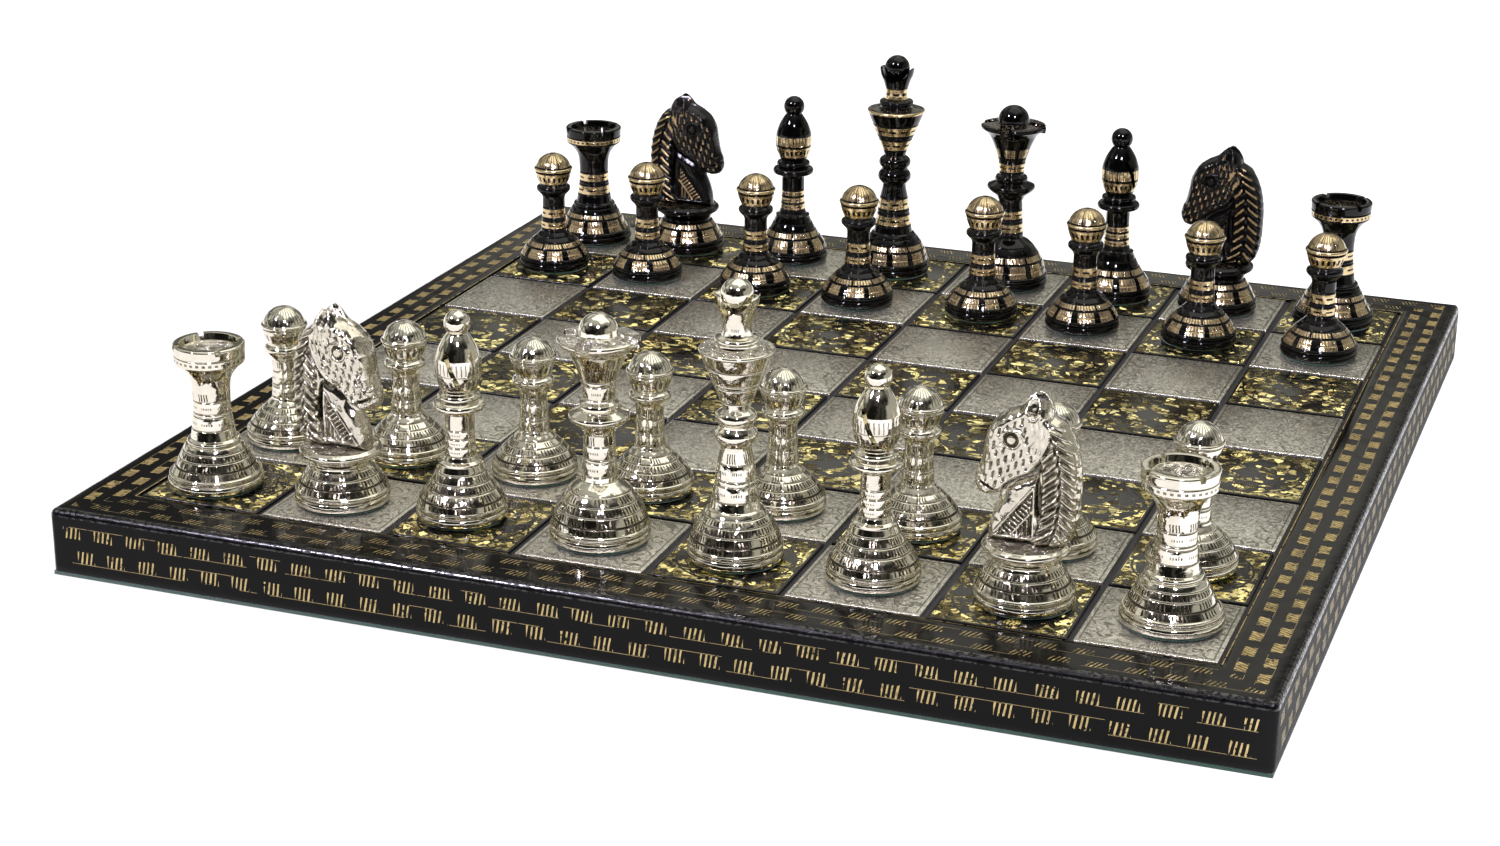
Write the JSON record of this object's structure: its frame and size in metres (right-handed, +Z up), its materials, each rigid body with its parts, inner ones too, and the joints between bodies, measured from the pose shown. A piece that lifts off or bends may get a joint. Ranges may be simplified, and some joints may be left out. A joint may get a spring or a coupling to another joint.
{
  "type": "chess set with board",
  "caption": "Chess set of turned and cast metal pieces with felt pads, standing on a square metal-clad board of light and dark tiles.",
  "frame": {"origin": "middle of the underside of the board's felt", "axes": "+Z up, +Y from the silver side to the black side, +X along the silver back row from left to right"},
  "size_m": [0.3048, 0.3048, 0.0871],
  "materials": {
    "green_felt": "napped felt",
    "core_wood": "sanded, unseen",
    "black_lacquered_brass": "gloss black lacquer cut through to the brass in dashes",
    "silvered_sheet": "matt silver plate, lightly etched",
    "engraved_brass": "bright brass cut through black lacquer",
    "nickel_plated_brass": "bright nickel plate, engraved bands",
    "black_lacquered_castings": "gloss black lacquer with engraved brass bands"
  },
  "bodies": {
    "board": {"board_felt": "green_felt", "board_core": "core_wood", "board_cladding": "black_lacquered_brass", "silver_squares": "silvered_sheet", "gold_squares": "engraved_brass"},
    "silver_rook_a": {"silver_rook_a": "nickel_plated_brass", "silver_rook_a_felt": "green_felt"},
    "silver_knight_b": {"silver_knight_b_base": "nickel_plated_brass", "silver_knight_b_head": "nickel_plated_brass", "silver_knight_b_felt": "green_felt"},
    "silver_bishop_c": {"silver_bishop_c": "nickel_plated_brass", "silver_bishop_c_felt": "green_felt"},
    "silver_queen_d": {"silver_queen_d": "nickel_plated_brass", "silver_queen_d_felt": "green_felt"},
    "silver_king_e": {"silver_king_e": "nickel_plated_brass", "silver_king_e_felt": "green_felt"},
    "silver_bishop_f": {"silver_bishop_f": "nickel_plated_brass", "silver_bishop_f_felt": "green_felt"},
    "silver_knight_g": {"silver_knight_g_base": "nickel_plated_brass", "silver_knight_g_head": "nickel_plated_brass", "silver_knight_g_felt": "green_felt"},
    "silver_rook_h": {"silver_rook_h": "nickel_plated_brass", "silver_rook_h_felt": "green_felt"},
    "silver_pawn_a": {"silver_pawn_a": "nickel_plated_brass"},
    "silver_pawn_b": {"silver_pawn_b": "nickel_plated_brass"},
    "silver_pawn_c": {"silver_pawn_c": "nickel_plated_brass"},
    "silver_pawn_d": {"silver_pawn_d": "nickel_plated_brass"},
    "silver_pawn_e": {"silver_pawn_e": "nickel_plated_brass"},
    "silver_pawn_f": {"silver_pawn_f": "nickel_plated_brass"},
    "silver_pawn_g": {"silver_pawn_g": "nickel_plated_brass"},
    "silver_pawn_h": {"silver_pawn_h": "nickel_plated_brass"},
    "black_rook_a": {"black_rook_a": "black_lacquered_castings", "black_rook_a_felt": "green_felt"},
    "black_knight_b": {"black_knight_b_base": "black_lacquered_castings", "black_knight_b_head": "black_lacquered_castings", "black_knight_b_felt": "green_felt"},
    "black_bishop_c": {"black_bishop_c": "black_lacquered_castings", "black_bishop_c_felt": "green_felt"},
    "black_king_d": {"black_king_d": "black_lacquered_castings", "black_king_d_felt": "green_felt"},
    "black_queen_e": {"black_queen_e": "black_lacquered_castings", "black_queen_e_felt": "green_felt"},
    "black_bishop_f": {"black_bishop_f": "black_lacquered_castings", "black_bishop_f_felt": "green_felt"},
    "black_knight_g": {"black_knight_g_base": "black_lacquered_castings", "black_knight_g_head": "black_lacquered_castings", "black_knight_g_felt": "green_felt"},
    "black_rook_h": {"black_rook_h": "black_lacquered_castings", "black_rook_h_felt": "green_felt"},
    "black_pawn_a": {"black_pawn_a": "black_lacquered_castings"},
    "black_pawn_b": {"black_pawn_b": "black_lacquered_castings"},
    "black_pawn_c": {"black_pawn_c": "black_lacquered_castings"},
    "black_pawn_d": {"black_pawn_d": "black_lacquered_castings"},
    "black_pawn_e": {"black_pawn_e": "black_lacquered_castings"},
    "black_pawn_f": {"black_pawn_f": "black_lacquered_castings"},
    "black_pawn_g": {"black_pawn_g": "black_lacquered_castings"},
    "black_pawn_h": {"black_pawn_h": "black_lacquered_castings"}
  },
  "joints": [
    {"name": "silver_rook_a_lift", "type": "slide", "parent": "board", "child": "silver_rook_a", "axis": [0, 0, 1], "range_m": [0, 0.08]},
    {"name": "silver_knight_b_lift", "type": "slide", "parent": "board", "child": "silver_knight_b", "axis": [0, 0, 1], "range_m": [0, 0.08]},
    {"name": "silver_bishop_c_lift", "type": "slide", "parent": "board", "child": "silver_bishop_c", "axis": [0, 0, 1], "range_m": [0, 0.08]},
    {"name": "silver_queen_d_lift", "type": "slide", "parent": "board", "child": "silver_queen_d", "axis": [0, 0, 1], "range_m": [0, 0.08]},
    {"name": "silver_king_e_lift", "type": "slide", "parent": "board", "child": "silver_king_e", "axis": [0, 0, 1], "range_m": [0, 0.08]},
    {"name": "silver_bishop_f_lift", "type": "slide", "parent": "board", "child": "silver_bishop_f", "axis": [0, 0, 1], "range_m": [0, 0.08]},
    {"name": "silver_knight_g_lift", "type": "slide", "parent": "board", "child": "silver_knight_g", "axis": [0, 0, 1], "range_m": [0, 0.08]},
    {"name": "silver_rook_h_lift", "type": "slide", "parent": "board", "child": "silver_rook_h", "axis": [0, 0, 1], "range_m": [0, 0.08]},
    {"name": "silver_pawn_a_lift", "type": "slide", "parent": "board", "child": "silver_pawn_a", "axis": [0, 0, 1], "range_m": [0, 0.08]},
    {"name": "silver_pawn_b_lift", "type": "slide", "parent": "board", "child": "silver_pawn_b", "axis": [0, 0, 1], "range_m": [0, 0.08]},
    {"name": "silver_pawn_c_lift", "type": "slide", "parent": "board", "child": "silver_pawn_c", "axis": [0, 0, 1], "range_m": [0, 0.08]},
    {"name": "silver_pawn_d_lift", "type": "slide", "parent": "board", "child": "silver_pawn_d", "axis": [0, 0, 1], "range_m": [0, 0.08]},
    {"name": "silver_pawn_e_lift", "type": "slide", "parent": "board", "child": "silver_pawn_e", "axis": [0, 0, 1], "range_m": [0, 0.08]},
    {"name": "silver_pawn_f_lift", "type": "slide", "parent": "board", "child": "silver_pawn_f", "axis": [0, 0, 1], "range_m": [0, 0.08]},
    {"name": "silver_pawn_g_lift", "type": "slide", "parent": "board", "child": "silver_pawn_g", "axis": [0, 0, 1], "range_m": [0, 0.08]},
    {"name": "silver_pawn_h_lift", "type": "slide", "parent": "board", "child": "silver_pawn_h", "axis": [0, 0, 1], "range_m": [0, 0.08]},
    {"name": "black_rook_a_lift", "type": "slide", "parent": "board", "child": "black_rook_a", "axis": [0, 0, 1], "range_m": [0, 0.08]},
    {"name": "black_knight_b_lift", "type": "slide", "parent": "board", "child": "black_knight_b", "axis": [0, 0, 1], "range_m": [0, 0.08]},
    {"name": "black_bishop_c_lift", "type": "slide", "parent": "board", "child": "black_bishop_c", "axis": [0, 0, 1], "range_m": [0, 0.08]},
    {"name": "black_king_d_lift", "type": "slide", "parent": "board", "child": "black_king_d", "axis": [0, 0, 1], "range_m": [0, 0.08]},
    {"name": "black_queen_e_lift", "type": "slide", "parent": "board", "child": "black_queen_e", "axis": [0, 0, 1], "range_m": [0, 0.08]},
    {"name": "black_bishop_f_lift", "type": "slide", "parent": "board", "child": "black_bishop_f", "axis": [0, 0, 1], "range_m": [0, 0.08]},
    {"name": "black_knight_g_lift", "type": "slide", "parent": "board", "child": "black_knight_g", "axis": [0, 0, 1], "range_m": [0, 0.08]},
    {"name": "black_rook_h_lift", "type": "slide", "parent": "board", "child": "black_rook_h", "axis": [0, 0, 1], "range_m": [0, 0.08]},
    {"name": "black_pawn_a_lift", "type": "slide", "parent": "board", "child": "black_pawn_a", "axis": [0, 0, 1], "range_m": [0, 0.08]},
    {"name": "black_pawn_b_lift", "type": "slide", "parent": "board", "child": "black_pawn_b", "axis": [0, 0, 1], "range_m": [0, 0.08]},
    {"name": "black_pawn_c_lift", "type": "slide", "parent": "board", "child": "black_pawn_c", "axis": [0, 0, 1], "range_m": [0, 0.08]},
    {"name": "black_pawn_d_lift", "type": "slide", "parent": "board", "child": "black_pawn_d", "axis": [0, 0, 1], "range_m": [0, 0.08]},
    {"name": "black_pawn_e_lift", "type": "slide", "parent": "board", "child": "black_pawn_e", "axis": [0, 0, 1], "range_m": [0, 0.08]},
    {"name": "black_pawn_f_lift", "type": "slide", "parent": "board", "child": "black_pawn_f", "axis": [0, 0, 1], "range_m": [0, 0.08]},
    {"name": "black_pawn_g_lift", "type": "slide", "parent": "board", "child": "black_pawn_g", "axis": [0, 0, 1], "range_m": [0, 0.08]},
    {"name": "black_pawn_h_lift", "type": "slide", "parent": "board", "child": "black_pawn_h", "axis": [0, 0, 1], "range_m": [0, 0.08]}
  ]
}
